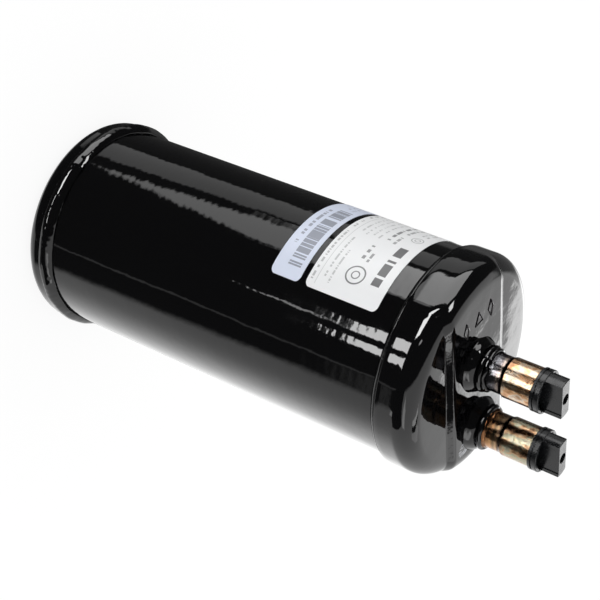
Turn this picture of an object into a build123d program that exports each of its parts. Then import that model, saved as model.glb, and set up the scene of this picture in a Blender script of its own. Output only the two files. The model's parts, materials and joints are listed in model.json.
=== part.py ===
from build123d import *
from math import cos, degrees, pi, radians, sin, tan
import os

# Suction-line accumulator for a refrigeration or heat-pump circuit.
# A welded steel vessel stands on its plain end cap. Both copper stubs leave through the
# stamped upper cap: the inlet opens into the vessel through a windowed diffuser, and the
# outlet carries the U-tube that draws vapour from the top and meters oil from the bottom.
# +Z is the vessel's axis, the two stubs lie on the Y axis, and z = 0 is the resting face.

# ---- vessel ----
SHELL_OD = 127.0
SHELL_WALL = 3.0
SHELL_LENGTH = 237.5        # bare shell between the two weld beads
SKIRT_LAP = 8.0             # how far each shell end runs on inside its cap
CAP_WALL = 3.0
CAP_SLIP = 0.1              # radial gap between the shell and a cap's skirt
BEAD_WIDTH = 3.5
BEAD_CROWN = 0.7            # how far a bead bulges beyond the straight line between its toes
BEAD_GAP = 0.1              # gap left between bead and skirt edge
LOWER_BEAD_LAP = 5.6        # how far the broad lower bead runs down over its skirt
LOWER_BEAD_BULGE = 1.2      # how far it stands out from the skirt

# ---- lower cap ----
LOWER_CAP_DEPTH = 17.0
LOWER_SHOULDER = 8.0

# ---- upper cap ----
UPPER_CAP_DEPTH = 23.8      # skirt edge to the low side faces
UPPER_SHOULDER = 11.5
LAND_RISE = 2.7             # stamped band above the side faces
LAND_WIDTH = 51.0
RAMP_ANGLE = 29.0
CREASE_RADIUS = 6.0

# ---- stubs ----
TUBE_OD = 22.2
TUBE_WALL = 0.9
BRAZE_SLIP = 0.05           # radial gap in every copper socket
SOCKET_WALL = 0.8
SOCKET_DEPTH = 17.6
SWAGE_LENGTH = 1.8
SWAGE_ROUND = 0.8
STUB_RISE = 38.4            # open mouth above the land
INLET_Y = 5.8
OUTLET_WALL_GAP = 9.9       # between the outlet tube and the shell's bore
INLET_DROP = 26.0           # tube end below the land
OUTLET_DROP = 36.0
LOWER_SOCKET_DEPTH = 12.0
MOUTH_RELIEF = 0.25         # slight bell where the transit plug sits
RELIEF_LENGTH = 9.0

# ---- sleeves and their welds ----
SLEEVE_OD = 27.0
SLEEVE_SLIP = 0.1
SLEEVE_RISE = 8.3
SLEEVE_DROP = 8.0           # below the land
SLEEVE_ROUND = 0.9
CAP_BEAD_R = 16.3
CAP_BEAD_SWELL = 0.7        # how far the bead bulges beyond the straight line between its toes
CAP_BEAD_HEIGHT = 5.2
RING_HEIGHT = 2.6
RING_HOLLOW = 0.25          # how far a braze ring's face dips

# ---- transit plugs ----
PLUG_SLIP = 0.05
SHANK_LENGTH = 8.0
SHANK_BORE_R = 3.3
SHANK_BORE_DEPTH = 15.0
FLANGE_OD = 25.6
FLANGE_THICK = 5.6
FLANGE_GROOVE = 0.7
RECESS_R = 10.6
RECESS_DEPTH = 3.4
GRIP_R = 12.3
GRIP_THICK = 8.8
GRIP_HEIGHT = 10.4
GRIP_LIP = 0.5
PANEL_DEPTH = 4.0           # how deep the cutter behind each lip reaches outwards
PANEL_MARGIN = 3.0          # left at each side of a sunk panel
PLUG_EDGE = 0.5

# ---- inner pieces ----
BEND_FLOOR_GAP = 24.0       # underside of the U-bend above the vessel's floor
LEG_TOP_GAP = 22.0          # open leg's mouth below the land
BLEED_HOLE_R = 1.2
BLEED_DROP = 8.0
BAFFLE_DROP = 62.0
BAFFLE_THICK = 1.5
BAFFLE_RIM = 9.0
BAFFLE_BEND = 3.0
BAFFLE_SLIP = 0.1
DRAIN_R = 7.0
DRAIN_COUNT = 6
LEG_HOLE_SLIP = 0.1
STRAP_HEIGHT = 132.0
STRAP_WIDTH = 34.0
STRAP_THICK = 2.5
DIFFUSER_WALL = 1.2
DIFFUSER_GRIP = 8.0
DIFFUSER_DROP = 26.0
DIFFUSER_CORNER = 4.0
WINDOW_COUNT = 3
WINDOW_WIDTH = 13.0
WINDOW_HEIGHT = 11.0
WINDOW_CORNER = 2.5
WINDOW_SILL = 3.0

# ---- oil pickup ----
PICKUP_R = 10.5
PICKUP_EMBRACE = 5.0        # how far the saddle climbs the bend
PICKUP_NECK = 3.0
ORIFICE_R = 0.8
SPIGOT_R = 6.0
SPIGOT_BORE_R = 3.5
SPIGOT_LENGTH = 5.0
SCREEN_WALL = 0.4
SCREEN_LENGTH = 13.0
SCREEN_R = 8.5
SCREEN_HOLE_R = 1.0
SCREEN_HOLE_COUNT = 12
SCREEN_ROWS = 3
SCREEN_CAP_R = 9.6
SCREEN_CAP_THICK = 1.5
SCREEN_SEAT = 1.5
SCREEN_SLIP = 0.1

# ---- labels ----
LABEL_FILM = 0.15
LABEL_GLUE = 0.05
LABEL_NEAR_ANGLE = 125.5    # measured from +X round the shell
LABEL_ARC_LENGTH = 100.0
LABEL_CORNER = 3.0
RATING_HEIGHT = 47.6
RATING_TOP_GAP = 12.0       # below the upper bead
BARCODE_HEIGHT = 20.0
LABEL_GAP = 3.8

# ---- worked out from the above ----
SHELL_R = SHELL_OD / 2
SHELL_BORE_R = SHELL_R - SHELL_WALL
CAP_BORE_R = SHELL_R + CAP_SLIP
CAP_R = CAP_BORE_R + CAP_WALL
LOWER_BEAD_Z = LOWER_CAP_DEPTH + BEAD_GAP
SHELL_LOW_Z = LOWER_BEAD_Z + BEAD_WIDTH
SHELL_HIGH_Z = SHELL_LOW_Z + SHELL_LENGTH
UPPER_SKIRT_Z = SHELL_HIGH_Z + BEAD_WIDTH + BEAD_GAP
SIDE_FACE_Z = UPPER_SKIRT_Z + UPPER_CAP_DEPTH
LAND_Z = SIDE_FACE_Z + LAND_RISE
MOUTH_Z = LAND_Z + STUB_RISE
TUBE_R = TUBE_OD / 2
TUBE_BORE_R = TUBE_R - TUBE_WALL
OUTLET_Y = -(SHELL_BORE_R - OUTLET_WALL_GAP - TUBE_R)
SOCKET_BORE_R = TUBE_R + BRAZE_SLIP
SOCKET_R = SOCKET_BORE_R + SOCKET_WALL
SLEEVE_R = SLEEVE_OD / 2
SLEEVE_TOP_Z = LAND_Z + SLEEVE_RISE
BEND_R = -OUTLET_Y          # the U-tube straddles the vessel's axis
FLOOR_Z = CAP_WALL
BEND_UNDER_Z = FLOOR_Z + BEND_FLOOR_GAP
BEND_Z = BEND_UNDER_Z + TUBE_R + BEND_R
U_TOP_Z = LAND_Z - OUTLET_DROP + LOWER_SOCKET_DEPTH
U_MOUTH_Z = LAND_Z - LEG_TOP_GAP
BAFFLE_Z = LAND_Z - BAFFLE_DROP


def disc(radius, low, high, x=0.0, y=0.0):
    """A round bar standing on its end."""
    return Pos(x, y, (low + high) / 2) * Cylinder(radius, high - low)


def ring(outer, inner, low, high, x=0.0, y=0.0):
    """A round bar with a plain bore."""
    return disc(outer, low, high, x, y) - disc(inner, low - 1, high + 1, x, y)


def lathe(points, x=0.0, y=0.0):
    """A solid of revolution from (radius, height) points, about a vertical axis."""
    outline = make_face(Plane.XZ * Polyline(*points, close=True))
    return Pos(x, y, 0) * revolve(outline, Axis.Z)


def shouldered(radius, low, high, shoulder):
    """A round bar whose top edge is rounded."""
    bar = disc(radius, low, high)
    return fillet(bar.edges().group_by(Axis.Z)[-1], shoulder)


def raised_band(inset, low, top):
    """The stamped band's trapezoid section, running across the cap along Y."""
    slope = tan(radians(RAMP_ANGLE))
    half_top = LAND_WIDTH / 2 - inset * tan(radians(RAMP_ANGLE / 2))
    half_foot = half_top + (top - low) / slope
    section = make_face(Plane.XZ * Polyline(
        (-half_foot, low), (-half_top, top), (half_top, top), (half_foot, low), close=True))
    creases = section.vertices().group_by(Axis.Z)[-1]
    section = fillet(creases, CREASE_RADIUS - inset * 0.9)
    return extrude(section, amount=2 * CAP_R, both=True)


def cap_form(inset, low):
    """The upper cap's outer form, moved inwards by the inset."""
    radius = CAP_R - inset
    shoulder = UPPER_SHOULDER - inset
    sides = shouldered(radius, low, SIDE_FACE_Z - inset, shoulder)
    crown = shouldered(radius, low, LAND_Z - inset, shoulder)
    foot = SIDE_FACE_Z - inset - shoulder
    return sides + (crown & raised_band(inset, foot, LAND_Z - inset))


# ---- vessel pieces ----
shell = ring(SHELL_R, SHELL_BORE_R, SHELL_LOW_Z - BEAD_WIDTH - SKIRT_LAP,
             SHELL_HIGH_Z + BEAD_WIDTH + SKIRT_LAP)

lower_outer = Rot(180, 0, 0) * shouldered(CAP_R, -LOWER_CAP_DEPTH, 0, LOWER_SHOULDER)
lower_inner = Pos(0, 0, CAP_WALL) * Rot(180, 0, 0) * shouldered(
    CAP_BORE_R, -LOWER_CAP_DEPTH, 0, LOWER_SHOULDER - CAP_WALL)
bottom_cap = lower_outer - lower_inner

top_cap = cap_form(0, UPPER_SKIRT_Z) - cap_form(CAP_WALL, UPPER_SKIRT_Z - 1)
for stub_y in (INLET_Y, OUTLET_Y):
    top_cap -= disc(SLEEVE_R + SLEEVE_SLIP, UPPER_SKIRT_Z, LAND_Z + 1, 0, stub_y)


def weld_bead(edge_z, toe_z):
    """A convex fillet weld from a skirt's edge down to the bare shell."""
    throat = ((CAP_R - 0.6 + SHELL_R) / 2 + BEAD_CROWN, (edge_z + toe_z) / 2)
    crown = ThreePointArc((CAP_R - 0.6, edge_z), throat, (SHELL_R, toe_z))
    legs = Polyline((SHELL_R, toe_z), (SHELL_R, edge_z), (CAP_R - 0.6, edge_z))
    return revolve(make_face(Plane.XZ * (crown + legs)), Axis.Z)


def lapped_bead():
    """The lower seam's broad bead, lapping over the skirt and ending on the bare shell."""
    lap_z = LOWER_CAP_DEPTH - LOWER_BEAD_LAP
    throat = (CAP_R + LOWER_BEAD_BULGE, LOWER_CAP_DEPTH - LOWER_BEAD_LAP / 3)
    crown = ThreePointArc((CAP_R, lap_z), throat, (SHELL_R, SHELL_LOW_Z))
    seat = Polyline((SHELL_R, SHELL_LOW_Z), (SHELL_R, LOWER_BEAD_Z), (CAP_R, LOWER_BEAD_Z), (CAP_R, lap_z))
    return revolve(make_face(Plane.XZ * (crown + seat)), Axis.Z)


bottom_weld = lapped_bead()
top_weld = weld_bead(UPPER_SKIRT_Z - BEAD_GAP, SHELL_HIGH_Z)


# ---- stub assemblies ----
def stub(y, low_z, lower_socket):
    """A copper stub with a swaged socket at its mouth and, if asked, one at its foot."""
    shoulder_z = MOUTH_Z - SOCKET_DEPTH
    neck_z = shoulder_z - SWAGE_LENGTH
    outside = [(0, MOUTH_Z), (SOCKET_R, MOUTH_Z), (SOCKET_R, shoulder_z), (TUBE_R, neck_z)]
    inside = [(0, MOUTH_Z + 1), (SOCKET_BORE_R + MOUTH_RELIEF, MOUTH_Z + 1),
              (SOCKET_BORE_R + MOUTH_RELIEF, MOUTH_Z - RELIEF_LENGTH),
              (SOCKET_BORE_R, MOUTH_Z - RELIEF_LENGTH), (SOCKET_BORE_R, shoulder_z),
              (TUBE_BORE_R, neck_z)]
    if lower_socket:
        seat_z = low_z + LOWER_SOCKET_DEPTH
        outside += [(TUBE_R, seat_z + SWAGE_LENGTH), (SOCKET_R, seat_z), (SOCKET_R, low_z)]
        inside += [(TUBE_BORE_R, seat_z + SWAGE_LENGTH), (SOCKET_BORE_R, seat_z),
                   (SOCKET_BORE_R, low_z - 1)]
    else:
        outside += [(TUBE_R, low_z)]
        inside += [(TUBE_BORE_R, low_z - 1)]
    body = lathe(outside + [(0, low_z)], 0, y)
    swage = body.edges().filter_by(GeomType.CIRCLE).filter_by_position(Axis.Z, neck_z - 0.1, shoulder_z + 0.1)
    return fillet(swage, SWAGE_ROUND) - lathe(inside + [(0, low_z - 1)], 0, y)


def sleeve(y):
    """The steel sleeve that carries a copper stub through the cap."""
    body = ring(SLEEVE_R, SOCKET_BORE_R, LAND_Z - SLEEVE_DROP, SLEEVE_TOP_Z, 0, y)
    return fillet(body.edges().group_by(Axis.Z)[-1].sort_by(SortBy.RADIUS)[-1], SLEEVE_ROUND)


def sleeve_weld(y):
    """The painted weld round a sleeve's foot, seated on the cap's own form."""
    top_z = LAND_Z + CAP_BEAD_HEIGHT
    root_z = LAND_Z - CAP_BEAD_HEIGHT
    swell = ((CAP_BEAD_R + SLEEVE_R) / 2 + CAP_BEAD_SWELL, (LAND_Z + top_z) / 2 + CAP_BEAD_SWELL)
    crown = ThreePointArc((CAP_BEAD_R, LAND_Z), swell, (SLEEVE_R, top_z))
    legs = Polyline((SLEEVE_R, top_z), (SLEEVE_R, root_z), (CAP_BEAD_R, root_z), (CAP_BEAD_R, LAND_Z))
    bead = Pos(0, y, 0) * revolve(make_face(Plane.XZ * (crown + legs)), Axis.Z)
    return bead - cap_form(0, UPPER_SKIRT_Z)


def braze_ring(y):
    """The ring of filler between a sleeve's top and its stub."""
    top_z = SLEEVE_TOP_Z + RING_HEIGHT
    rim = SLEEVE_R - SLEEVE_ROUND
    middle = ((rim + TUBE_R) / 2 - RING_HOLLOW, (SLEEVE_TOP_Z + top_z) / 2 - RING_HOLLOW)
    hollow = ThreePointArc((rim, SLEEVE_TOP_Z), middle, (TUBE_R, top_z))
    legs = Polyline((TUBE_R, top_z), (TUBE_R, SLEEVE_TOP_Z), (rim, SLEEVE_TOP_Z))
    return Pos(0, y, 0) * revolve(make_face(Plane.XZ * (hollow + legs)), Axis.Z)


def plug(y):
    """A rubber transit plug: bored shank, grooved flange and a pinch grip in a dished face."""
    shank_r = SOCKET_BORE_R + MOUTH_RELIEF - PLUG_SLIP
    flange_r = FLANGE_OD / 2
    face_z = MOUTH_Z + FLANGE_THICK
    end_z = face_z + GRIP_HEIGHT
    shank = chamfer(disc(shank_r, MOUTH_Z - SHANK_LENGTH, MOUTH_Z + 1).edges().group_by(Axis.Z)[0], 0.8)
    flange = disc(flange_r, MOUTH_Z, face_z)
    flange = fillet(flange.edges().filter_by(GeomType.CIRCLE), PLUG_EDGE)
    groove_z = MOUTH_Z + FLANGE_THICK * 0.42
    flange -= ring(flange_r + 1, flange_r - FLANGE_GROOVE, groove_z - 0.5, groove_z + 0.5)
    flange -= disc(RECESS_R, face_z - RECESS_DEPTH, face_z + 1)
    grip = disc(GRIP_R, face_z - RECESS_DEPTH - 0.5, end_z)
    grip &= Pos(0, 0, end_z) * Box(GRIP_THICK, 3 * GRIP_R, 4 * GRIP_HEIGHT)
    grip = fillet(grip.edges().group_by(Axis.Z)[-1], PLUG_EDGE)
    body = shank + flange + grip
    for side in (-1, 1):
        panel_x = side * (GRIP_THICK / 2 + PANEL_DEPTH / 2 - GRIP_LIP)
        panel_y = 2 * (GRIP_R - PANEL_MARGIN)
        body -= Pos(panel_x, 0, end_z) * Box(PANEL_DEPTH, panel_y, 2 * (GRIP_HEIGHT + RECESS_DEPTH) - 0.2)
    body -= disc(SHANK_BORE_R, end_z - SHANK_BORE_DEPTH, end_z + 1)
    return Pos(0, y, 0) * body


# ---- what the vessel holds ----
def u_tube_piece():
    """Two legs joined by a half-round bend, with the bleed hole and the oil hole."""
    def legs_and_bend(radius, over):
        outlet_leg = disc(radius, BEND_Z, U_TOP_Z + over, 0, OUTLET_Y)
        open_leg = disc(radius, BEND_Z, U_MOUTH_Z + over, 0, -OUTLET_Y)
        section = Pos(0, BEND_R, BEND_Z) * Circle(radius)
        bend = revolve(section, Axis((0, 0, BEND_Z), (-1, 0, 0)), 180)
        return outlet_leg + open_leg + bend
    tube = legs_and_bend(TUBE_R, 0) - legs_and_bend(TUBE_BORE_R, 1)
    bleed_z = LAND_Z - OUTLET_DROP - BLEED_DROP
    tube -= Pos(0, OUTLET_Y + TUBE_R, bleed_z) * Rot(90, 0, 0) * Cylinder(BLEED_HOLE_R, 4 * TUBE_WALL)
    return tube - disc(ORIFICE_R, BEND_UNDER_Z - 1, BEND_UNDER_Z + 3 * TUBE_WALL)


def baffle():
    """A dished splash plate with drain scallops, pierced by both legs."""
    radius = SHELL_BORE_R - BAFFLE_SLIP
    low = BAFFLE_Z - BAFFLE_RIM
    outer = shouldered(radius, low, BAFFLE_Z, BAFFLE_BEND)
    inner = shouldered(radius - BAFFLE_THICK, low - 1, BAFFLE_Z - BAFFLE_THICK, BAFFLE_BEND - BAFFLE_THICK)
    plate = outer - inner
    for leg_y in (OUTLET_Y, -OUTLET_Y):
        plate -= disc(TUBE_R + LEG_HOLE_SLIP, low - 1, BAFFLE_Z + 1, 0, leg_y)
    for k in range(DRAIN_COUNT):
        turn = 2 * pi * k / DRAIN_COUNT
        plate -= disc(DRAIN_R, low - 1, BAFFLE_Z + 1, radius * cos(turn), radius * sin(turn))
    return plate


def strap():
    """A flat tie across the shell that holds both legs."""
    bar = Pos(0, 0, STRAP_HEIGHT) * Box(STRAP_WIDTH, 2 * SHELL_R, STRAP_THICK)
    bar &= disc(SHELL_BORE_R - BAFFLE_SLIP, STRAP_HEIGHT - STRAP_THICK, STRAP_HEIGHT + STRAP_THICK)
    for leg_y in (OUTLET_Y, -OUTLET_Y):
        bar -= disc(TUBE_R + LEG_HOLE_SLIP, STRAP_HEIGHT - STRAP_THICK, STRAP_HEIGHT + STRAP_THICK, 0, leg_y)
    return bar


def diffuser():
    """A cup pressed over the inlet's end, with windows that turn the flow outwards."""
    inner_r = TUBE_R + LEG_HOLE_SLIP
    outer_r = inner_r + DIFFUSER_WALL
    tube_end = LAND_Z - INLET_DROP
    foot = tube_end - DIFFUSER_DROP
    cup = disc(outer_r, foot, tube_end + DIFFUSER_GRIP)
    cup = fillet(cup.edges().group_by(Axis.Z)[0], DIFFUSER_CORNER)
    cup -= disc(inner_r, foot + DIFFUSER_WALL, tube_end + DIFFUSER_GRIP + 1)
    window_z = foot + DIFFUSER_WALL + WINDOW_SILL + WINDOW_HEIGHT / 2
    opening = RectangleRounded(WINDOW_WIDTH, WINDOW_HEIGHT, WINDOW_CORNER)
    for k in range(WINDOW_COUNT):
        cutter = extrude(Plane.YZ * opening, amount=2 * outer_r)
        cup -= Rot(0, 0, 90 + 360 * k / WINDOW_COUNT) * Pos(0, 0, window_z) * cutter
    return Pos(0, INLET_Y, 0) * cup


SPIGOT_TOP_Z = BEND_UNDER_Z - PICKUP_NECK
SCREEN_TOP_Z = SPIGOT_TOP_Z
SCREEN_LOW_Z = SCREEN_TOP_Z - SCREEN_LENGTH


def oil_pickup():
    """The saddle fitting under the bend, bored for the metering hole."""
    body = disc(PICKUP_R, SPIGOT_TOP_Z, BEND_UNDER_Z + PICKUP_EMBRACE)
    body += disc(SPIGOT_R, SPIGOT_TOP_Z - SPIGOT_LENGTH, SPIGOT_TOP_Z + 1)
    section = Pos(0, BEND_R, BEND_Z) * Circle(TUBE_R + BRAZE_SLIP)
    body -= revolve(section, Axis((0, 0, BEND_Z), (-1, 0, 0)), 180)
    body -= disc(ORIFICE_R, SPIGOT_TOP_Z, BEND_UNDER_Z + 1)
    return body - disc(SPIGOT_BORE_R, SPIGOT_TOP_Z - SPIGOT_LENGTH - 1, SPIGOT_TOP_Z + 1)


def oil_screen():
    """A perforated sleeve hung from the pickup's shoulder."""
    sleeve_body = ring(SCREEN_R, SCREEN_R - SCREEN_WALL, SCREEN_LOW_Z, SCREEN_TOP_Z - 0.05)
    pitch = (SCREEN_LENGTH - 2 * SCREEN_SEAT) / SCREEN_ROWS
    for row in range(SCREEN_ROWS):
        hole_z = SCREEN_LOW_Z + SCREEN_SEAT + (row + 0.5) * pitch
        for k in range(SCREEN_HOLE_COUNT // 2):
            turn = 360 * k / SCREEN_HOLE_COUNT
            bar = Pos(0, 0, hole_z) * Rot(0, 90, turn) * Cylinder(SCREEN_HOLE_R, 3 * SCREEN_R)
            sleeve_body -= bar
    return sleeve_body


def screen_cap():
    """The rimmed disc that closes the screen's foot."""
    low = SCREEN_LOW_Z - SCREEN_CAP_THICK
    cup = disc(SCREEN_CAP_R, low, SCREEN_LOW_Z + SCREEN_SEAT)
    return cup - disc(SCREEN_R + SCREEN_SLIP, SCREEN_LOW_Z, SCREEN_LOW_Z + SCREEN_SEAT + 1)


# ---- labels ----
def label(low, height):
    """A printed film wrapped round the shell, with rounded corners."""
    sweep_angle = degrees(LABEL_ARC_LENGTH / SHELL_R)
    middle = LABEL_NEAR_ANGLE - sweep_angle / 2
    glue_r = SHELL_R + LABEL_GLUE
    chord = 2 * (glue_r + LABEL_FILM) * sin(radians(sweep_angle / 2))
    film = ring(glue_r + LABEL_FILM, glue_r, low, low + height)
    window = extrude(Plane.YZ * RectangleRounded(chord, height, LABEL_CORNER), amount=2 * SHELL_R)
    return film & (Rot(0, 0, middle) * Pos(0, 0, low + height / 2) * window)


rating_low = SHELL_HIGH_Z - RATING_TOP_GAP - RATING_HEIGHT
barcode_low = rating_low - LABEL_GAP - BARCODE_HEIGHT

parts = {
    "shell": shell,
    "bottom_cap": bottom_cap,
    "top_cap": top_cap,
    "bottom_weld": bottom_weld,
    "top_weld": top_weld,
    "inlet_sleeve": sleeve(INLET_Y),
    "outlet_sleeve": sleeve(OUTLET_Y),
    "inlet_sleeve_weld": sleeve_weld(INLET_Y),
    "outlet_sleeve_weld": sleeve_weld(OUTLET_Y),
    "inlet_stub": stub(INLET_Y, LAND_Z - INLET_DROP, False),
    "outlet_stub": stub(OUTLET_Y, LAND_Z - OUTLET_DROP, True),
    "inlet_braze_ring": braze_ring(INLET_Y),
    "outlet_braze_ring": braze_ring(OUTLET_Y),
    "inlet_plug": plug(INLET_Y),
    "outlet_plug": plug(OUTLET_Y),
    "inlet_diffuser": diffuser(),
    "u_tube": u_tube_piece(),
    "splash_baffle": baffle(),
    "u_tube_strap": strap(),
    "oil_pickup": oil_pickup(),
    "oil_screen": oil_screen(),
    "screen_cap": screen_cap(),
    "rating_label": label(rating_low, RATING_HEIGHT),
    "barcode_label": label(barcode_low, BARCODE_HEIGHT),
}

os.makedirs("parts", exist_ok=True)
for name, solid in parts.items():
    export_step(solid, f"parts/{name}.step")
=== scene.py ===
import json
import math

import bmesh
import bpy
from mathutils import Matrix, Vector, noise


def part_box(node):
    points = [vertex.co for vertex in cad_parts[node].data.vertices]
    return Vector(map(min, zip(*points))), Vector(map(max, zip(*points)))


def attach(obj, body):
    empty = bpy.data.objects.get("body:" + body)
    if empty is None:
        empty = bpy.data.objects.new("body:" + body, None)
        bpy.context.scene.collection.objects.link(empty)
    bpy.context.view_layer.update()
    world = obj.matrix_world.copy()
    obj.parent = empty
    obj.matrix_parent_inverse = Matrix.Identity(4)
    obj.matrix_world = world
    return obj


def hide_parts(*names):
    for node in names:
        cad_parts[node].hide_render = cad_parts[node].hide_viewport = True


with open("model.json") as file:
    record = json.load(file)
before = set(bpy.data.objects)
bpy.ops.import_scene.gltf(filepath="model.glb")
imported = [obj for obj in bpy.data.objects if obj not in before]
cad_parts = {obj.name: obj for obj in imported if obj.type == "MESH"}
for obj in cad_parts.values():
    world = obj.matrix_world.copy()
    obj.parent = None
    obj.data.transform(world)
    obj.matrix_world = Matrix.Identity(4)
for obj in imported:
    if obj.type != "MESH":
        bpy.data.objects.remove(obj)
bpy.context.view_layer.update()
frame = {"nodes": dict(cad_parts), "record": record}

# Sizes in metres and angles in degrees, read from the solids' boxes where they can be.
MM = 0.001
LAND_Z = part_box("top_cap")[1][2]              # the stamped band that carries both stubs
SKIRT_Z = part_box("top_cap")[0][2]             # lower edge of the upper cap
CAP_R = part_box("top_cap")[1][0]
SHELL_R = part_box("shell")[1][0]
MOUTH_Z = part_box("inlet_stub")[1][2]
STUB_Y = {side: sum(corner[1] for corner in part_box(side + "_stub")) / 2 for side in ("inlet", "outlet")}
LAND_RISE = 2.7 * MM
BAND_HALF = 25.5 * MM                         # to the crease, as if it were sharp
FLANK_ANGLE = 29.0
CREASE_R = 6.0 * MM
FOOT_R = 2.5 * MM
DOME_FROM = 31.0 * MM                         # outside this the low segments fall away a little
SEGMENT_DOME = 0.8                            # by this much, per metre
SLEEVE_HOLE_R = 13.6 * MM
DRILL_LENGTH = 30.0 * MM

# Sizes in millimetres, for outlines.
LAND, SHELL, LAP_R = LAND_Z / MM, SHELL_R / MM, CAP_R / MM
TOE_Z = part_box("bottom_weld")[1][2] / MM      # upper toe of the lower seam
SEAM_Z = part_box("top_weld")[0][2] / MM        # lower toe of the upper seam
EDGE_Z = SKIRT_Z / MM
CAP_WALL = 3.0
CAP_SHOULDER = 11.5
CAP_LIP_ROUND = 0.6
CAP_FACET = 3.5                               # no run of the cap's outline is longer
FLANK_LEAD = 2.0                              # how far inside a flank's crease its cuts start
FLANK_SPAN = 8.0
FLANK_CUTS = 17
CAP_STEPS, SEAM_STEPS, COLLAR_STEPS, HOLE_STEPS = 300, 900, 120, 128


# ---------------------------------------------------------------- colours and nodes
def srgb(code):
    """A hex colour as written on a colour card, turned to the linear values a shader takes."""
    channels = [int(code[i:i + 2], 16) / 255 for i in (1, 3, 5)]
    linear = [c / 12.92 if c <= 0.04045 else ((c + 0.055) / 1.055) ** 2.4 for c in channels]
    return (*linear, 1.0)


def add(tree, kind, settings=None, **inputs):
    """Adds a node, sets its properties, and sets or links its inputs. An input is named, with _ for
    a space, or numbered as i0, i1 and so on; a node given as a value links its first live output."""
    made = tree.nodes.new(kind)
    for key, value in (settings or {}).items():
        if key == "stops":
            marks = made.color_ramp.elements
            while len(marks) < len(value):
                marks.new(0.5)
            for mark, (position, code) in zip(marks, value):
                mark.position, mark.color = position, srgb(code)
        else:
            setattr(made, key, value)
    for key, value in inputs.items():
        numbered = key[0] == "i" and key[1:].isdigit()
        socket = made.inputs[int(key[1:])] if numbered else made.inputs[key.replace("_", " ")]
        if isinstance(value, bpy.types.Node):
            value = next(output for output in value.outputs if output.enabled)
        if isinstance(value, bpy.types.NodeSocket):
            tree.links.new(value, socket)
        else:
            socket.default_value = value
    return made


def begin(name):
    """A new material, its empty node tree and the place on the object."""
    material = bpy.data.materials.new(name)
    material.use_nodes = True
    tree = material.node_tree
    tree.nodes.clear()
    return material, tree, add(tree, "ShaderNodeTexCoord").outputs["Object"]


def close(tree, reliefs=(), **inputs):
    """Lays the reliefs, (height in millimetres, pattern), over each other and ends in one shader."""
    for depth, pattern in reliefs:
        under = {"Normal": inputs["Normal"]} if "Normal" in inputs else {}
        inputs["Normal"] = add(tree, "ShaderNodeBump", None, Strength=1.0, Distance=depth * MM,
                               Height=pattern, **under)
    shader = add(tree, "ShaderNodeBsdfPrincipled", None, **inputs)
    add(tree, "ShaderNodeOutputMaterial", None, Surface=shader)


# ---------------------------------------------------------------- finishes
ONE_BAND = 0.314                              # a wave's Scale times the length of one band
SCORCH_FROM = MOUTH_Z - 28.0 * MM             # where the colours of a stub's foot start
SCORCH_TO = MOUTH_Z - 14.0 * MM
OXIDE_FROM = MOUTH_Z - 18.0 * MM              # where the oxide of its mouth takes over from them
OXIDE_TO = MOUTH_Z - 14.5 * MM


def black_stoving_enamel(name, waviness=1.0, scuffs=()):
    """Black stoving enamel flow-coated over rolled steel: a deep mirror gloss that wavers with the
    paint's orange peel, the roller marks of the sheet and slow sags, and holds specks of dust.
    Scuffs, (place in millimetres, radius), are where handling has scratched it pale."""
    material, tree, at = begin(name)
    peel = add(tree, "ShaderNodeTexNoise", None, Vector=at, Scale=1 / (4.5 * MM), Detail=2.0, Roughness=0.5)
    sag = add(tree, "ShaderNodeTexNoise", None, Vector=at, Scale=1 / (17 * MM), Detail=1.0, Roughness=0.4)
    rolled = add(tree, "ShaderNodeTexWave", {"bands_direction": "Z"}, Vector=at,
                 Scale=ONE_BAND / (5.2 * MM), Distortion=1.5, Detail=1.0)
    dust = add(tree, "ShaderNodeTexVoronoi", None, Vector=at, Scale=1 / (24 * MM), Randomness=1.0)
    speck = add(tree, "ShaderNodeMapRange", None, Value=dust, From_Min=0.006, From_Max=0.022,
                To_Min=1.0, To_Max=0.0)
    colour = srgb("#060607")
    rough = add(tree, "ShaderNodeMapRange", None, Value=sag, From_Min=0.3, From_Max=0.7,
                To_Min=0.025, To_Max=0.05)
    for place, radius in scuffs:
        away = add(tree, "ShaderNodeVectorMath", {"operation": "DISTANCE"}, i0=at,
                   i1=[along * MM for along in place])
        near = add(tree, "ShaderNodeMapRange", {"interpolation_type": "SMOOTHSTEP"}, Value=away,
                   From_Min=radius * MM, From_Max=radius * 0.3 * MM)
        drag = add(tree, "ShaderNodeMapping", None, Vector=at, Rotation=(0.0, 0.5, 0.9),
                   Scale=(1 / (5 * MM), 1 / (0.9 * MM), 1 / (1.6 * MM)))
        scratch = add(tree, "ShaderNodeTexNoise", None, Vector=drag, Scale=1.0, Detail=4.0, Roughness=0.7)
        share = add(tree, "ShaderNodeMath", {"operation": "MULTIPLY"}, i0=scratch, i1=near)
        share = add(tree, "ShaderNodeMapRange", None, Value=share, From_Min=0.46, From_Max=0.56)
        colour = add(tree, "ShaderNodeMix", {"data_type": "RGBA"}, i0=share, i6=colour, i7=srgb("#A9ABB0"))
        rough = add(tree, "ShaderNodeMix", None, i0=share, i2=rough, i3=0.5)
    close(tree, ((0.030 * waviness, peel), (0.16 * waviness, sag), (0.006, rolled), (0.25, speck)),
          Base_Color=colour, Roughness=rough, IOR=1.5)
    return material


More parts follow.
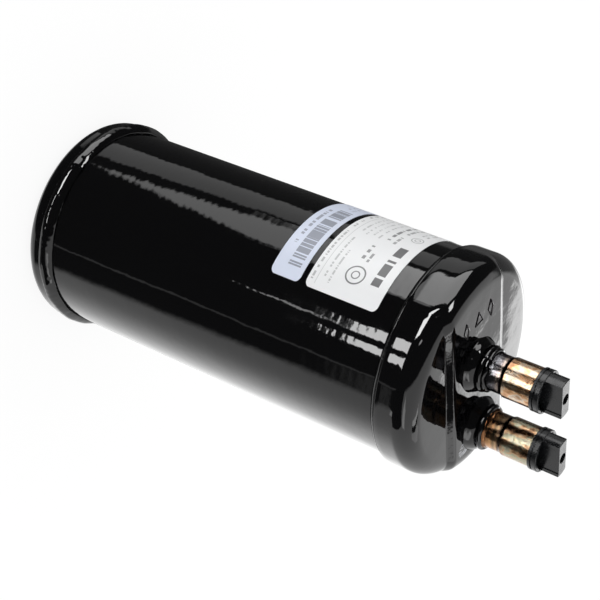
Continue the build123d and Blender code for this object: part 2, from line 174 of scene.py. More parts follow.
def torched_copper(name, foot, patches, gloss):
    """Drawn copper tube after torch brazing: satin metal under thin oxide. Foot holds the colours
    along the tube up to the swage, where the braze has wetted and scorched it; patches hold those
    of the mouth's oxide and flux stains, from dark to pale. Gloss is its lowest roughness."""
    material, tree, at = begin(name)
    height = add(tree, "ShaderNodeSeparateXYZ", None, Vector=at).outputs["Z"]
    wander = add(tree, "ShaderNodeTexNoise", None, Vector=at, Scale=1 / (8 * MM), Detail=3.0, Roughness=0.6)
    shift = add(tree, "ShaderNodeMath", {"operation": "MULTIPLY_ADD"}, i0=wander, i1=2.5 * MM, i2=height)
    along = add(tree, "ShaderNodeMapRange", None, Value=shift, From_Min=SCORCH_FROM, From_Max=SCORCH_TO)
    scorched = add(tree, "ShaderNodeValToRGB", {"stops": foot}, Fac=along)
    smear = add(tree, "ShaderNodeMapping", None, Vector=at,
                Scale=(1 / (7 * MM), 1 / (7 * MM), 1 / (11 * MM)))
    patch = add(tree, "ShaderNodeTexNoise", None, Vector=smear, Scale=1.0, Detail=5.0, Roughness=0.62)
    stained = add(tree, "ShaderNodeValToRGB", {"stops": patches}, Fac=patch)
    over = add(tree, "ShaderNodeMapRange", {"interpolation_type": "SMOOTHSTEP"}, Value=shift,
               From_Min=OXIDE_FROM, From_Max=OXIDE_TO)
    colour = add(tree, "ShaderNodeMix", {"data_type": "RGBA"}, i0=over, i6=scorched, i7=stained)
    fine = add(tree, "ShaderNodeTexNoise", None, Vector=at, Scale=1 / (0.7 * MM), Detail=3.0, Roughness=0.6)
    rough = add(tree, "ShaderNodeMapRange", None, Value=patch, From_Min=0.3, From_Max=0.7,
                To_Min=gloss, To_Max=gloss + 0.14)
    close(tree, ((0.03, fine), (0.16, wander)), Base_Color=colour, Metallic=1.0, Roughness=rough)
    return material


def silver_braze():
    """Silver brazing alloy as it froze: pale bright metal with a slack, pooled surface."""
    material, tree, at = begin("silver_brazing_alloy")
    pool = add(tree, "ShaderNodeTexNoise", None, Vector=at, Scale=1 / (3 * MM), Detail=3.0, Roughness=0.6)
    stops = ((0.3, "#6E6C6E"), (0.5, "#AEB0B6"), (0.7, "#C4B9A8"))
    colour = add(tree, "ShaderNodeValToRGB", {"stops": stops}, Fac=pool)
    close(tree, ((0.25, pool),), Base_Color=colour, Metallic=1.0, Roughness=0.25)
    return material


def moulded_rubber():
    """Moulded EPDM rubber: near black, satin, with the dry haze of talc and a fine moulded grain."""
    material, tree, at = begin("moulded_epdm_rubber")
    haze = add(tree, "ShaderNodeTexNoise", None, Vector=at, Scale=1 / (6 * MM), Detail=4.0, Roughness=0.65)
    grain = add(tree, "ShaderNodeTexNoise", None, Vector=at, Scale=1 / (0.6 * MM), Detail=2.0)
    colour = add(tree, "ShaderNodeValToRGB", {"stops": ((0.3, "#0E0F10"), (0.7, "#17181A"))}, Fac=haze)
    rough = add(tree, "ShaderNodeMapRange", None, Value=haze, From_Min=0.3, From_Max=0.7,
                To_Min=0.17, To_Max=0.30)
    close(tree, ((0.012, grain),), Base_Color=colour, Roughness=rough, IOR=1.42)
    return material


def mill_steel():
    """Bare mild steel pressings: grey, faintly oiled, with rolling scratches."""
    material, tree, at = begin("bare_mild_steel")
    drawn = add(tree, "ShaderNodeMapping", None, Vector=at,
                Scale=(1 / (0.6 * MM), 1 / (14 * MM), 1 / (0.6 * MM)))
    scratch = add(tree, "ShaderNodeTexNoise", None, Vector=drawn, Scale=1.0, Detail=3.0)
    oil = add(tree, "ShaderNodeTexNoise", None, Vector=at, Scale=1 / (18 * MM), Detail=3.0)
    colour = add(tree, "ShaderNodeValToRGB", {"stops": ((0.3, "#77787A"), (0.7, "#A1A09D"))}, Fac=oil)
    rough = add(tree, "ShaderNodeMapRange", None, Value=scratch, From_Min=0.3, From_Max=0.7,
                To_Min=0.26, To_Max=0.48)
    close(tree, ((0.02, scratch),), Base_Color=colour, Metallic=1.0, Roughness=rough)
    return material


def turned_brass():
    """Turned free-cutting brass: yellow metal with the fine rings a lathe leaves."""
    material, tree, at = begin("turned_brass")
    rings = add(tree, "ShaderNodeTexWave", {"bands_direction": "Z"}, Vector=at, Scale=ONE_BAND / (0.6 * MM),
                Distortion=0.4)
    tarnish = add(tree, "ShaderNodeTexNoise", None, Vector=at, Scale=1 / (5 * MM), Detail=3.0)
    colour = add(tree, "ShaderNodeValToRGB", {"stops": ((0.3, "#A98745"), (0.7, "#CDAE6A"))}, Fac=tarnish)
    close(tree, ((0.02, rings),), Base_Color=colour, Metallic=1.0, Roughness=0.28)
    return material


# ---------------------------------------------------------------- label print
# Marks, in millimetres along the film from its near end and up from its lower edge, are
#   ("row", start, end, bottom, top, pitch, share, darkness): random runs of ink, too small to read
#   ("block", start, end, bottom, top, darkness): solid ink
#   ("ring", centre, height, radius, line, darkness)
RATING_PRINT = (
    ("block", 3.0, 97.0, 5.3, 5.6, 0.40),
    ("row", 5.0, 60.0, 1.8, 3.2, 0.8, 0.50, 0.45),
    ("row", 66.0, 84.0, 1.6, 3.2, 0.8, 0.55, 0.55),
    ("row", 6.0, 40.0, 8.6, 9.8, 0.7, 0.55, 0.40),
    ("row", 46.0, 92.0, 8.6, 9.8, 0.7, 0.50, 0.35),
    ("row", 6.0, 30.0, 12.4, 13.6, 0.7, 0.55, 0.40),
    ("row", 46.0, 88.0, 12.4, 13.6, 0.7, 0.50, 0.35),
    ("row", 46.0, 90.0, 16.4, 17.6, 0.7, 0.50, 0.35),
    ("row", 46.0, 84.0, 20.4, 21.6, 0.7, 0.50, 0.35),
    ("ring", 16.0, 25.5, 5.6, 0.9, 0.80),
    ("ring", 16.0, 25.5, 2.3, 0.7, 0.80),
    ("row", 26.0, 40.0, 22.0, 24.0, 1.3, 0.60, 0.70),
    ("row", 26.0, 36.0, 26.0, 27.6, 1.0, 0.60, 0.65),
    ("row", 48.0, 80.0, 25.6, 27.6, 1.1, 0.60, 0.70),
    ("row", 46.0, 86.0, 30.4, 32.2, 1.1, 0.60, 0.55),
    ("row", 11.0, 46.0, 36.6, 42.0, 1.75, 0.66, 0.86),
    ("ring", 58.0, 39.5, 3.4, 0.6, 0.50),
    ("ring", 58.0, 39.5, 1.6, 0.6, 0.50),
    ("row", 66.0, 92.0, 37.0, 38.4, 0.9, 0.55, 0.45),
    ("row", 66.0, 90.0, 40.2, 41.6, 0.9, 0.55, 0.45),
)
BARCODE_PRINT = (
    ("row", 7.0, 62.0, 8.2, 16.8, 0.55, 0.55, 0.62),
    ("row", 7.0, 62.0, 8.2, 16.8, 0.90, 0.34, 0.62),
    ("row", 22.0, 58.0, 3.6, 5.6, 0.9, 0.60, 0.55),
    ("row", 66.0, 92.0, 9.0, 10.6, 0.9, 0.50, 0.45),
    ("row", 66.0, 88.0, 13.0, 14.6, 0.9, 0.50, 0.45),
)
FILM_NEAR = math.radians(125.5)               # where both films start, measured from +X
INK_EDGE = 0.08                               # millimetres over which printed ink fades out
ROW_PHASE = 7                                 # runs by which a row is shifted for each millimetre up


def printed_film(name, paper, ink, marks, node):
    """Polyester label film: satin white or blue-white, with thermal-transfer print."""
    material, tree, at = begin(name)
    split = add(tree, "ShaderNodeSeparateXYZ", None, Vector=at)
    turn = add(tree, "ShaderNodeMath", {"operation": "ARCTAN2"}, i0=split.outputs["Y"],
               i1=split.outputs["X"])
    along = add(tree, "ShaderNodeMath", {"operation": "MULTIPLY_ADD"}, i0=turn, i1=-SHELL_R / MM,
                i2=FILM_NEAR * SHELL_R / MM)
    up = add(tree, "ShaderNodeMath", {"operation": "MULTIPLY_ADD"}, i0=split.outputs["Z"], i1=1 / MM,
             i2=-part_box(node)[0][2] / MM)
    inked = None
    for kind, *mark in marks:
        spans, shares = [], [mark.pop()]
        if kind == "ring":
            centre, height, radius, line = mark
            spot = add(tree, "ShaderNodeCombineXYZ", None, X=along, Y=up)
            away = add(tree, "ShaderNodeVectorMath", {"operation": "DISTANCE"}, i0=spot,
                       i1=(centre, height, 0))
            spans.append((away, radius - line / 2, radius + line / 2))
        else:
            start, end, bottom, top, *runs = mark
            spans += [(along, start, end), (up, bottom, top)]
        if kind == "row":
            pitch, share = runs
            cell = add(tree, "ShaderNodeMath", {"operation": "MULTIPLY_ADD"}, i0=along, i1=1 / pitch,
                       i2=bottom * ROW_PHASE + start)
            cell = add(tree, "ShaderNodeMath", {"operation": "FLOOR"}, i0=cell)
            toss = add(tree, "ShaderNodeTexWhiteNoise", {"noise_dimensions": "1D"}, W=cell).outputs["Value"]
            shares.append(add(tree, "ShaderNodeMath", {"operation": "LESS_THAN"}, i0=toss, i1=share))
        for value, low, high in spans:
            half = (high - low) / 2
            off = add(tree, "ShaderNodeMath", {"operation": "SUBTRACT"}, i0=value, i1=(low + high) / 2)
            off = add(tree, "ShaderNodeMath", {"operation": "ABSOLUTE"}, i0=off)
            shares.append(add(tree, "ShaderNodeMapRange", None, Value=off, From_Min=half + INK_EDGE,
                              From_Max=half - INK_EDGE))
        cover = shares[0]
        for share in shares[1:]:
            cover = add(tree, "ShaderNodeMath", {"operation": "MULTIPLY"}, i0=share, i1=cover)
        if inked is None:
            inked = cover
        else:
            inked = add(tree, "ShaderNodeMath", {"operation": "MAXIMUM"}, i0=cover, i1=inked)
    colour = add(tree, "ShaderNodeMix", {"data_type": "RGBA"}, i0=inked, i6=srgb(paper), i7=srgb(ink))
    film = add(tree, "ShaderNodeTexNoise", None, Vector=at, Scale=1 / (9 * MM), Detail=2.0)
    close(tree, ((0.012, film),), Base_Color=colour, Roughness=0.32, IOR=1.5)
    return material


CAP_SCUFFS = (((-17, -47, 288), 11), ((-9, -58, 285), 9))
enamel = black_stoving_enamel("black_stoving_enamel")
cap_enamel = black_stoving_enamel("black_enamel_on_the_cap", 1.2, CAP_SCUFFS)
weld_enamel = black_stoving_enamel("black_enamel_over_weld")
silvered = torched_copper(
    "copper_silvered_by_the_braze",
    ((0.0, "#7C7A80"), (0.3, "#B2B1B6"), (0.5, "#8E8788"), (0.60, "#A89A90"), (0.70, "#564A4A"),
     (0.78, "#8C705C"), (1.0, "#AE8A6C")),
    ((0.36, "#7E5C44"), (0.44, "#A8805E"), (0.50, "#BA9878"), (0.57, "#B2A696"), (0.64, "#9C8068")),
    0.12)
browned = torched_copper(
    "copper_browned_by_the_torch",
    ((0.0, "#6E4C34"), (0.3, "#A07A56"), (0.45, "#7A6650"), (0.58, "#A08468"), (0.70, "#463A32"),
     (0.8, "#6C5440"), (1.0, "#8C6E54")),
    ((0.36, "#4A382A"), (0.43, "#7C6048"), (0.49, "#A2866A"), (0.54, "#8A8772"), (0.60, "#9A9482"),
     (0.68, "#6E5844")),
    0.14)
finishes = {
    "black_paint": enamel,
    "black_paint_rough": weld_enamel,
    "copper": torched_copper("bright_drawn_copper", ((0.0, "#B87E5C"), (1.0, "#C08A66")),
                             ((0.3, "#A8714F"), (0.7, "#C08A66")), 0.16),
    "braze_alloy": silver_braze(),
    "black_rubber": moulded_rubber(),
    "bare_steel": mill_steel(),
    "brass": turned_brass(),
    "white_label": printed_film("white_polyester_film", "#F4F5F6", "#1B1C1E", RATING_PRINT,
                                "rating_label"),
    "pale_label": printed_film("blue_white_polyester_film", "#DCE3F4", "#3C3E46", BARCODE_PRINT,
                               "barcode_label"),
}
slots = {part["node"]: part["material_slot"] for part in frame["record"]["subparts"]}
for name, node in frame["nodes"].items():
    node.data.materials.clear()
    node.data.materials.append(finishes[slots[name]])
frame["nodes"]["inlet_stub"].data.materials[0] = silvered
frame["nodes"]["outlet_stub"].data.materials[0] = browned


# ---------------------------------------------------------------- turned and pressed pieces
def turned(outline, steps, rounds=(), longest=None):
    """A ring spun about the vertical from a closed outline of (radius, height) in millimetres.
    Rounds, (corner, set-back, segments), come first, then no run of it is left longer than longest."""
    made = bmesh.new()
    corners = [made.verts.new((r * MM, 0, z * MM)) for r, z in outline]
    for pair in zip(corners, corners[1:] + corners[:1]):
        made.edges.new(pair)
    for corner, back, segments in rounds:
        bmesh.ops.bevel(made, geom=[corners[corner]], offset=back * MM, segments=segments, profile=0.5,
                        affect="VERTICES", material=-1)
    for run in made.edges[:] if longest else ():
        bmesh.ops.subdivide_edges(made, edges=[run], cuts=int(run.calc_length() / (longest * MM)))
    bmesh.ops.spin(made, geom=[*made.verts, *made.edges], cent=(0, 0, 0), axis=(0, 0, 1), angle=2 * math.pi,
                   steps=steps, use_merge=True)
    bmesh.ops.remove_doubles(made, verts=made.verts, dist=1e-7)
    bmesh.ops.recalc_face_normals(made, faces=made.faces)
    return made


def piece(name, made, slot, finish, *nodes, sharp=35.0, levels=0):
    """Turns a bmesh into a piece of the vessel that stands for the nodes named, if any: smooth but
    for edges over the sharp angle, and rounded by some levels of subdivision."""
    mesh = bpy.data.meshes.new(name)
    made.to_mesh(mesh)
    made.free()
    mesh.polygons.foreach_set("use_smooth", [True] * len(mesh.polygons))
    if sharp:
        mesh.set_sharp_from_angle(angle=math.radians(sharp))
    mesh.materials.append(finish)
    shown = bpy.data.objects.new(name, mesh)
    bpy.context.scene.collection.objects.link(shown)
    if levels:
        rounding = shown.modifiers.new("rounding", "SUBSURF")
        rounding.levels = rounding.render_levels = levels
    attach(shown, "vessel")
    if nodes:
        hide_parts(*nodes)


def band_drop(x):
    """How far the cap lies below its raised band: a rounded crease, a straight flank, a rounded foot."""
    slope = math.radians(FLANK_ANGLE)
    crease, foot = CREASE_R * math.sin(slope), FOOT_R * math.sin(slope)
    run = (LAND_RISE - (CREASE_R + FOOT_R) * (1 - math.cos(slope))) / math.tan(slope)
    across = abs(x) - BAND_HALF + CREASE_R * math.tan(slope / 2)
    if across <= 0:
        return 0.0
    if across < crease:
        return CREASE_R - math.sqrt(CREASE_R ** 2 - across ** 2)
    if across < crease + run:
        return CREASE_R * (1 - math.cos(slope)) + (across - crease) * math.tan(slope)
    left = max(crease + run + foot - across, 0.0)
    return LAND_RISE - FOOT_R + math.sqrt(FOOT_R ** 2 - left ** 2)


def pressed_cap():
    """The upper cap: a spun dish whose middle band stands proud, with flanks that follow the shoulder."""
    low, top, radius = SKIRT_Z / MM, (LAND_Z - LAND_RISE) / MM, CAP_R / MM
    inside, ceiling = radius - CAP_WALL, top - CAP_WALL
    rounds = ((1, CAP_SHOULDER, 16), (2, CAP_LIP_ROUND, 3), (4, CAP_SHOULDER - CAP_WALL, 8))
    made = turned([(0, top), (radius, top), (radius, low), (inside, low), (inside, ceiling), (0, ceiling)],
                  CAP_STEPS, rounds, CAP_FACET)
    for step in range(FLANK_CUTS):
        across = BAND_HALF + (step / (FLANK_CUTS - 1) * FLANK_SPAN - FLANK_LEAD) * MM
        for side in (-1, 1):
            bmesh.ops.bisect_plane(made, geom=[*made.verts, *made.edges, *made.faces], dist=1e-6,
                                   plane_co=(side * across, 0, 0), plane_no=(1, 0, 0))
    straight = (top - CAP_SHOULDER - low) * MM
    for corner in made.verts:
        share = min((corner.co.z - SKIRT_Z) / straight, 1.0)
        dome = max(abs(corner.co.x) - DOME_FROM, 0.0) ** 2 * SEGMENT_DOME
        corner.co.z += (LAND_RISE - band_drop(corner.co.x) - dome) * share
    return made


def bored(made, radius, places):
    """Cuts an upright hole at each (x, y), from half a drill's length above the band to as far below."""
    drill = bmesh.new()
    for x, y in places:
        bmesh.ops.create_cone(drill, cap_ends=True, segments=HOLE_STEPS, radius1=radius, radius2=radius,
                              depth=DRILL_LENGTH, matrix=Matrix.Translation((x, y, LAND_Z)))
    blanks = []
    for part in (made, drill):
        mesh = bpy.data.meshes.new("blank")
        part.to_mesh(mesh)
        part.free()
        blanks.append(bpy.data.objects.new("blank", mesh))
        bpy.context.scene.collection.objects.link(blanks[-1])
    cut = blanks[0].modifiers.new("holes", "BOOLEAN")
    cut.operation, cut.solver, cut.object = "DIFFERENCE", "EXACT", blanks[1]
    result = bmesh.new()
    result.from_object(blanks[0], bpy.context.evaluated_depsgraph_get())
    for blank in blanks:
        bpy.data.meshes.remove(blank.data)    # the object goes with its mesh
    return result


# How every seam and bead wanders, beside the sizes that each is given.
FINER, FINER_SHARE = 3, 0.3                   # the small lumps: how many times finer, and how much lower
CLIMB, FINER_CLIMB = 0.3, 0.8                 # how far the pattern of lumps moves on per millimetre up
BOW = 0.1                                     # a ripple trails by this many radians per square millimetre
STRAY, STRAY_PACE = 3, 0.4                    # radians that ripples stray by, and how fast beside the lumps
SWAY_PACE, SWAY_SEED = 2.2, 5.0


def uneven(made, centre, *, lump, lump_size, sway, seed, pitch=None, ripple=0.0, low=-1.0):
    """Moves the surface of a ring whose middle is at centre, (height, radius): a ripple every pitch
    along it, lumps of one size with small ones on them, and sway up and down. Sizes are in
    millimetres; nothing below low moves up or down."""
    turns = round(2 * math.pi * centre[1] / pitch) if pitch else 0
    span = centre[1] / lump_size
    for corner in made.verts:
        out = Vector((corner.co.x, corner.co.y, 0)).normalized()
        height = corner.co.z / MM
        angle = math.atan2(out.y, out.x)
        lumps = noise.noise(Vector((out.x * span, out.y * span, seed + height * CLIMB)))
        lumps += FINER_SHARE * noise.noise(Vector((out.x * span * FINER, out.y * span * FINER,
                                                   seed + height * FINER_CLIMB)))
        wave = math.cos(turns * angle + BOW * (height - centre[0]) ** 2
                        + STRAY * noise.noise(out * span * STRAY_PACE))
        corner.co += out * (ripple * wave + lump * lumps) * MM
        if height > low:
            place = Vector((out.x * SWAY_PACE, out.y * SWAY_PACE, seed + SWAY_SEED))
            corner.co.z += sway * noise.noise(place) * MM
    return made


def placed(made, side):
    """Moves a ring from the vessel's axis to a stub's."""
    bmesh.ops.translate(made, verts=made.verts, vec=(0, STUB_Y[side], 0))
    return made


piece("pressed_cap", bored(pressed_cap(), SLEEVE_HOLE_R, [(0, y) for y in STUB_Y.values()]),
      "black_paint", cap_enamel, "top_cap")

# Both seams are lapped welds under the paint, the lower one broad and down over its skirt.
LOWER_SEAM = [(LAP_R - 0.1, TOE_Z - 9.6), (LAP_R + 0.9, TOE_Z - 8.2), (LAP_R + 1.35, TOE_Z - 6.0),
              (LAP_R + 1.0, TOE_Z - 3.9), (LAP_R - 0.6, TOE_Z - 1.9), (SHELL + 1.1, TOE_Z - 0.5),
              (SHELL + 0.1, TOE_Z), (SHELL - 0.2, TOE_Z - 0.4), (SHELL - 0.2, TOE_Z - 3.4),
              (LAP_R - 0.3, TOE_Z - 3.8)]
UPPER_SEAM = [(LAP_R - 0.6, EDGE_Z - 0.1), (LAP_R - 0.5, EDGE_Z - 0.8), (SHELL + 1.9, SEAM_Z + 1.6),
              (SHELL + 0.8, SEAM_Z + 0.5), (SHELL + 0.1, SEAM_Z), (SHELL - 0.2, SEAM_Z + 0.3),
              (SHELL - 0.2, EDGE_Z - 0.1)]
lower_seam = uneven(turned(LOWER_SEAM, SEAM_STEPS), (TOE_Z - 5, SHELL), pitch=3.6, ripple=0.012,
                    lump=0.50, lump_size=9.0, sway=0.6, seed=3.0)
upper_seam = uneven(turned(UPPER_SEAM, SEAM_STEPS), (SEAM_Z + 2, SHELL), pitch=3.2, ripple=0.01,
                    lump=0.18, lump_size=8.0, sway=0.3, seed=9.0)
piece("lower_seam", lower_seam, "black_paint_rough", weld_enamel, "bottom_weld", sharp=0, levels=1)
piece("upper_seam", upper_seam, "black_paint_rough", weld_enamel, "top_weld", sharp=0, levels=1)

# Round each stub's foot: a welded bead, the painted sleeve with its rolled rim, and the braze.
# Outlines are (radius, height above the band).
FOOT_BEAD = [(13.0, -4.4), (17.3, -4.4), (17.2, -0.6), (16.5, 0.5), (16.0, 1.5), (15.1, 3.2),
             (14.0, 4.4), (13.3, 5.1), (13.0, 4.4)]
SLEEVE = [(11.3, -8.0), (13.4, -8.0), (13.4, 4.5), (13.5, 5.5), (13.95, 6.6), (13.85, 7.6),
          (13.2, 8.5), (12.6, 8.9), (11.3, 8.8)]
BRAZE = {"inlet": [(11.15, 8.2), (12.7, 8.4), (13.15, 9.2), (13.0, 10.3), (12.3, 11.0), (11.15, 11.2)],
         "outlet": [(11.1, 8.2), (12.5, 8.4), (12.1, 9.1), (11.6, 9.7), (11.3, 10.4), (11.1, 11.0)]}
BRAZE_FINISH = {"inlet": ("black_paint_rough", weld_enamel), "outlet": ("braze_alloy", browned)}
for number, side in enumerate(STUB_Y):
    bead, sleeve, braze = (turned([(r, LAND + up) for r, up in outline], COLLAR_STEPS)
                           for outline in (FOOT_BEAD, SLEEVE, BRAZE[side]))
    uneven(bead, (LAND + 2, 15), lump=0.35, lump_size=8.0, sway=0.4, seed=11.0 + number, low=LAND - 2)
    uneven(sleeve, (LAND + 6, 14), lump=0.15, lump_size=8.0, sway=0.5, seed=21.0 + number, low=LAND - 2)
    uneven(braze, (LAND + 9, 12.5), lump=0.25, lump_size=6.0, sway=1.2, seed=31.0 + number, low=LAND)
    piece(side + "_foot_bead", placed(bead, side), "black_paint_rough", weld_enamel,
          side + "_sleeve_weld", sharp=0, levels=2)
    piece(side + "_painted_sleeve", placed(sleeve, side), "black_paint_rough", weld_enamel,
          side + "_sleeve", sharp=0, levels=2)
    piece(side + "_braze_bead", placed(braze, side), *BRAZE_FINISH[side],
          side + "_braze_ring", sharp=0, levels=2)

# Three plain marks stamped up from the band, a lozenge, a triangle and a lozenge: (x, corners, half
# width, half height) in millimetres.
MARKS = ((-12.2, 4, 3.1, 6.2), (0.8, 3, 5.0, 5.6), (13.2, 4, 3.1, 6.2))
MARKS_Y = 38 * MM
MARK_SINK = 0.3 * MM                          # how deep in the band their foot lies
MARK_HEIGHT = 0.75 * MM                       # from that foot
MARK_LINE = 1.3 * MM
MARK_ROUND = 0.42 * MM


def stamped_marks():
    """The marks as raised outlines with rounded crests."""
    made = bmesh.new()
    for x, sides, half_width, half_height in MARKS:
        rim = bmesh.ops.create_circle(made, cap_ends=True, segments=sides, radius=MM)["verts"]
        bmesh.ops.scale(made, verts=rim, vec=(half_width, half_height, 1))
        bmesh.ops.translate(made, verts=rim, vec=(x * MM, MARKS_Y, LAND_Z - MARK_SINK))
    middles = made.faces[:]
    bmesh.ops.inset_individual(made, faces=middles, thickness=MARK_LINE)
    bmesh.ops.delete(made, geom=middles, context="FACES_ONLY")
    raised = bmesh.ops.extrude_face_region(made, geom=made.faces[:])["geom"]
    bmesh.ops.translate(made, verts=[part for part in raised if isinstance(part, bmesh.types.BMVert)],
                        vec=(0, 0, MARK_HEIGHT))
    bmesh.ops.recalc_face_normals(made, faces=made.faces)
    crest = [edge for edge in made.edges
             if all(end.co.z > LAND_Z for end in edge.verts) and edge.calc_face_angle(0) > 1]
    bmesh.ops.bevel(made, geom=crest, offset=MARK_ROUND, segments=4, profile=0.5, affect="EDGES",
                    material=-1)
    return made


piece("stamped_marks", stamped_marks(), "black_paint", cap_enamel)

# ---------------------------------------------------------------- camera
AIM = Vector((0.0, 0.0, 164.1 * MM))
CAMERA_DISTANCE = 892.2 * MM
CAMERA_AZIMUTH = 133.37      # degrees from +X, anticlockwise seen from above
CAMERA_ELEVATION = 29.56
CAMERA_ROLL = 111.99
FOCAL_LENGTH = 88.9          # on a sensor 36 mm wide

azimuth = math.radians(CAMERA_AZIMUTH)
elevation = math.radians(CAMERA_ELEVATION)
outward = Vector((math.cos(elevation) * math.cos(azimuth), math.cos(elevation) * math.sin(azimuth),
                  math.sin(elevation)))
level = outward.to_track_quat("Z", "Y").to_matrix().to_4x4()
camera = bpy.data.objects.new("camera", bpy.data.cameras.new("camera"))
camera.data.lens = FOCAL_LENGTH
camera.data.sensor_width = 36.0
camera.data.clip_start = 0.05
camera.matrix_world = (Matrix.Translation(AIM + CAMERA_DISTANCE * outward) @ level
                       @ Matrix.Rotation(math.radians(CAMERA_ROLL), 4, "Z"))
bpy.context.scene.collection.objects.link(camera)
bpy.context.scene.camera = camera

# ---------------------------------------------------------------- floor
FLOOR_HALF = 3.0
FLOOR_WHITE = 1.04
FLOOR_PLAIN = 0.85           # how much of FLOOR_WHITE the camera sees; the rest is matt and takes shadow

floor_bmesh = bmesh.new()
bmesh.ops.create_grid(floor_bmesh, x_segments=1, y_segments=1, size=FLOOR_HALF)
floor_mesh = bpy.data.meshes.new("floor")
floor_bmesh.to_mesh(floor_mesh)
floor_bmesh.free()
floor = bpy.data.objects.new("floor", floor_mesh)
bpy.context.scene.collection.objects.link(floor)
floor.visible_glossy = False
floor_finish, floor_tree, _ = begin("pale_floor")
matt = add(floor_tree, "ShaderNodeBsdfDiffuse", None, Color=srgb("#F4F4F4"))
white = add(floor_tree, "ShaderNodeEmission", None, Strength=FLOOR_WHITE)
plainness = add(floor_tree, "ShaderNodeMath", {"operation": "MULTIPLY"}, i1=FLOOR_PLAIN,
                i0=add(floor_tree, "ShaderNodeLightPath").outputs["Is Camera Ray"])
matt = add(floor_tree, "ShaderNodeMixShader", None, i0=plainness, i1=matt, i2=white)
add(floor_tree, "ShaderNodeOutputMaterial", None, Surface=matt)
floor_mesh.materials.append(floor_finish)

# ---------------------------------------------------------------- studio
# Panes of light as the gloss shows them: corners are (degrees round from +X, degrees up), taken
# clockwise as seen from inside, then the softness of the edges in degrees and the brightness.
# The reckoning round from +X breaks at -Y, so what crosses it comes in two halves.
STUDIO_PANES = {
    "big softbox": (((38, 6), (67, 30), (84, 24), (91.5, -29), (55.5, -29)),
                    (0.6, 0.6, 0.6, 4.0, 0.6), 4.2),
    "big softbox, dim foot": (((52, -22), (92, -22), (93, -27), (88.5, -33), (80.5, -36.5),
                               (75, -38.5), (53, -25)), 1.0, 1.95),
    "side softbox": (((17, 5), (36, 3), (48.5, -27.5), (25, -30)), 1.0, 0.78),
    "side softbox, low end": (((23, -22), (44, -22), (48, -26), (66, -40), (33, -40)), 1.2, 0.74),
    "high lamp": (((67, 53), (76, 54), (81, 38), (70, 38)), 0.8, 15.0),
    "rear lamp": (((100, 8), (123, 1), (127, -12), (108, -14)), 0.8, 20.0),
    "small lamp": (((126, 28), (132, 20), (130, 17), (125, 21)), 0.8, 5.0),
    "split lamp, left pane": (((131, -20), (144, -20), (142, -27.5), (132, -27.3)), 0.3, 12.0),
    "split lamp, right pane": (((147, -20), (159, -20), (155, -27.6), (149, -27.6)), 0.3, 12.0),
    "lamp foot": (((140, -28.5), (142.5, -28.5), (142, -31.4), (141, -31.4)), 0.3, 4.0),
    "strip beside the table": (((177.5, -20), (179.5, -20), (183.5, -40), (181.5, -40)), 0.4, 0.45),
    "glare on the table": (((184, 32), (205, 38), (228, 30), (220, 23), (200, 27)), 3.0, 3.2),
    "patch on the table": (((202, -20), (208, -20), (208, -24), (202, -24)), 1.0, 2.5),
    "glow on the backdrop": (((-47.8, 23.2), (-38, 18), (-31, -6), (-54, -10)),
                             (1.3, 5.0, 5.0, 1.5), 3.5),
    "lit table top": (((-95, 53), (-70, 53), (-70, 48.9), (-95, 48.7)), 0.3, 3.0),
    "lit table top, other half": (((258, 53), (275, 53), (275, 48.7), (258, 48.7)), 0.3, 3.0),
    "lit table foot": (((-95, 45.4), (-72, 45.4), (-62, 39), (-95, 40)), 0.6, 1.7),
    "lit table foot, other half": (((258, 45.4), (275, 45.4), (275, 40), (258, 40)), 0.6, 1.7),
}
# Dark places on the table: corners, softness, and how much of its light is lost.
TABLE_SHADES = (
    (((170, 22), (217, 22), (219, 10), (218, -16), (170, -16)), 0.8, 1.0),
    (((170, -15), (218, -15), (199, -25), (170, -25)), 1.0, 1.0),
    (((170, -24.5), (199, -24.5), (211, -38), (216, -46), (170, -46)), 4.0, 1.0),
    (((-52, -27), (40, -27), (40, -60), (-66, -60), (-60, -42)), 2.0, 1.0),
    (((-30, 31), (40, 31), (40, -30), (-32, -30)), (3.0, 3.0, 3.0, 5.0), 0.85),
    (((-40, -15), (-15, -15), (-15, -30), (-48, -30)), 5.0, 0.5),
    (((-95, 48.6), (-70, 48.8), (-66, 45.5), (-95, 45.5)), 0.3, 1.0),
    (((258, 48.6), (275, 48.6), (275, 45.5), (258, 45.5)), 0.3, 1.0),
)
ROOM = 0.045                 # the dark room round the table
TABLE_FACING = (-0.02, -1.0, 0.0)
TABLE_EDGE = (-0.03, 0.06)   # where it starts and is full, by the share of a ray that points its way
TABLE_DIP = (-14.0, -25.0)   # degrees up between which its low part takes over
TABLE_DEEP = (0.55, 0.87)    # where that part brightens, by the same share
TABLE_NEAR = 1.1
TABLE_LOW = 0.95
TABLE_FAR = 1.95
TWICE_MIRRORED = 0.12        # share of the light left to what is seen by way of two reflections
PLAIN_LIGHT = 0.95           # even light on all that isn't glossy


def pane(tree, where, corners, softness, brightness):
    """A soft-edged convex pane of light: the least of its edges' distances, turned to a brightness.
    Softness is one number, or one for each edge."""
    inside = None
    softness = softness if isinstance(softness, tuple) else (softness,) * len(corners)
    for (a, b), (c, d), soft in zip(corners, corners[1:] + corners[:1], softness):
        length = math.hypot(c - a, d - b) * soft
        across = ((d - b) / length, -(c - a) / length)
        shift = -(across[0] * (a - 90) + across[1] * b)
        edge = add(tree, "ShaderNodeVectorMath", {"operation": "DOT_PRODUCT"}, i0=where,
                   i1=(*across, shift))
        if inside is None:
            inside = edge
        else:
            inside = add(tree, "ShaderNodeMath", {"operation": "MINIMUM"}, i0=inside, i1=edge)
    return add(tree, "ShaderNodeMapRange", {"interpolation_type": "SMOOTHSTEP"}, Value=inside,
               From_Min=-1.0, From_Max=1.0, To_Min=0.0, To_Max=brightness)


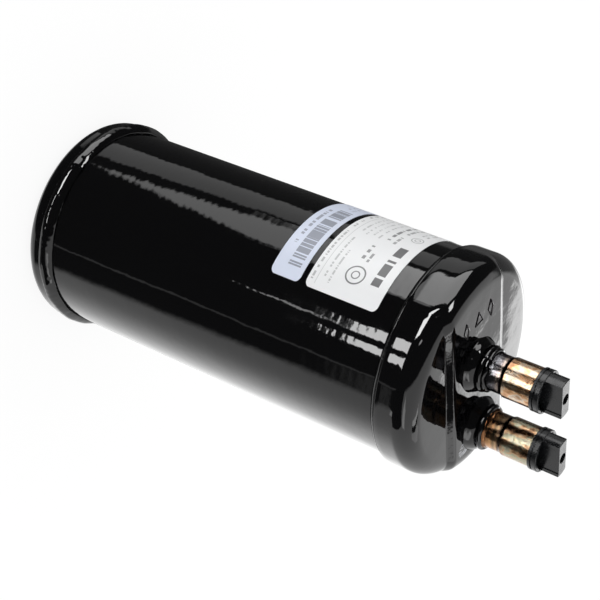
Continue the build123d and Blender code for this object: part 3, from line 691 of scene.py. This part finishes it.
world = bpy.data.worlds.new("studio")
bpy.context.scene.world = world
world.use_nodes = True
world.cycles.sampling_method = "NONE"
sky = world.node_tree
sky.nodes.clear()
ray = add(sky, "ShaderNodeLightPath")

# where a ray points: degrees round from +Y, degrees up, and a 1 that takes in each edge's shift
facing = add(sky, "ShaderNodeTexCoord").outputs["Generated"]
split = add(sky, "ShaderNodeSeparateXYZ", None, Vector=facing)
minus_x = add(sky, "ShaderNodeMath", {"operation": "MULTIPLY"}, i0=split.outputs["X"], i1=-1.0)
turn = add(sky, "ShaderNodeMath", {"operation": "ARCTAN2"}, i0=minus_x, i1=split.outputs["Y"])
rise = add(sky, "ShaderNodeMath", {"operation": "ARCSINE"}, i0=split.outputs["Z"])
turn = add(sky, "ShaderNodeMath", {"operation": "DEGREES"}, i0=turn)
rise = add(sky, "ShaderNodeMath", {"operation": "DEGREES"}, i0=rise)
where = add(sky, "ShaderNodeCombineXYZ", None, X=turn, Y=rise, Z=1.0)

# the table lies towards -Y, and low down it brightens with distance
sunk = add(sky, "ShaderNodeVectorMath", {"operation": "DOT_PRODUCT"}, i0=facing, i1=TABLE_FACING)
table = add(sky, "ShaderNodeMapRange", {"interpolation_type": "SMOOTHSTEP"}, Value=sunk,
            From_Min=TABLE_EDGE[0], From_Max=TABLE_EDGE[1])
low = add(sky, "ShaderNodeMapRange", {"interpolation_type": "SMOOTHSTEP"}, Value=rise,
          From_Min=TABLE_DIP[0], From_Max=TABLE_DIP[1], To_Min=0.0, To_Max=1.0)
deep = add(sky, "ShaderNodeMapRange", None, Value=sunk, From_Min=TABLE_DEEP[0], From_Max=TABLE_DEEP[1])
deep = add(sky, "ShaderNodeMath", {"operation": "MULTIPLY"}, i0=deep, i1=deep)
deep = add(sky, "ShaderNodeMath", {"operation": "MULTIPLY_ADD"}, i0=deep, i1=TABLE_FAR - TABLE_LOW,
           i2=TABLE_LOW)
glow = add(sky, "ShaderNodeMix", None, i0=low, i2=TABLE_NEAR, i3=deep)
table = add(sky, "ShaderNodeMath", {"operation": "MULTIPLY"}, i0=table, i1=glow)
for corners, softness, loss in TABLE_SHADES:
    lost = pane(sky, where, corners, softness, loss)
    kept = add(sky, "ShaderNodeMath", {"operation": "SUBTRACT"}, i0=1.0, i1=lost)
    table = add(sky, "ShaderNodeMath", {"operation": "MULTIPLY"}, i0=table, i1=kept)
gloss_light = add(sky, "ShaderNodeMath", {"operation": "ADD"}, i0=table, i1=ROOM)
for corners, softness, brightness in STUDIO_PANES.values():
    lit = pane(sky, where, corners, softness, brightness)
    gloss_light = add(sky, "ShaderNodeMath", {"operation": "MAXIMUM"}, i0=gloss_light, i1=lit)

# a ray that comes here off one reflection has a Ray Depth of 2, and off two it has 3
fade = add(sky, "ShaderNodeMapRange", None, Value=ray.outputs["Ray Depth"], From_Min=2.0, From_Max=3.0,
           To_Min=1.0, To_Max=TWICE_MIRRORED)
gloss_light = add(sky, "ShaderNodeMath", {"operation": "MULTIPLY"}, i0=gloss_light, i1=fade)
gloss = add(sky, "ShaderNodeBackground", None, Strength=gloss_light)
plain_light = add(sky, "ShaderNodeBackground", None, Strength=PLAIN_LIGHT)
backdrop = add(sky, "ShaderNodeBackground", None, Strength=1.0)
for light in (gloss, plain_light, backdrop):
    light.inputs["Color"].default_value = (1, 1, 1, 1)
seen = add(sky, "ShaderNodeMixShader", None, i0=ray.outputs["Is Glossy Ray"], i1=plain_light, i2=gloss)
seen = add(sky, "ShaderNodeMixShader", None, i0=ray.outputs["Is Camera Ray"], i1=seen, i2=backdrop)
add(sky, "ShaderNodeOutputWorld", None, Surface=seen)
bpy.context.scene.view_settings.view_transform = "Standard"
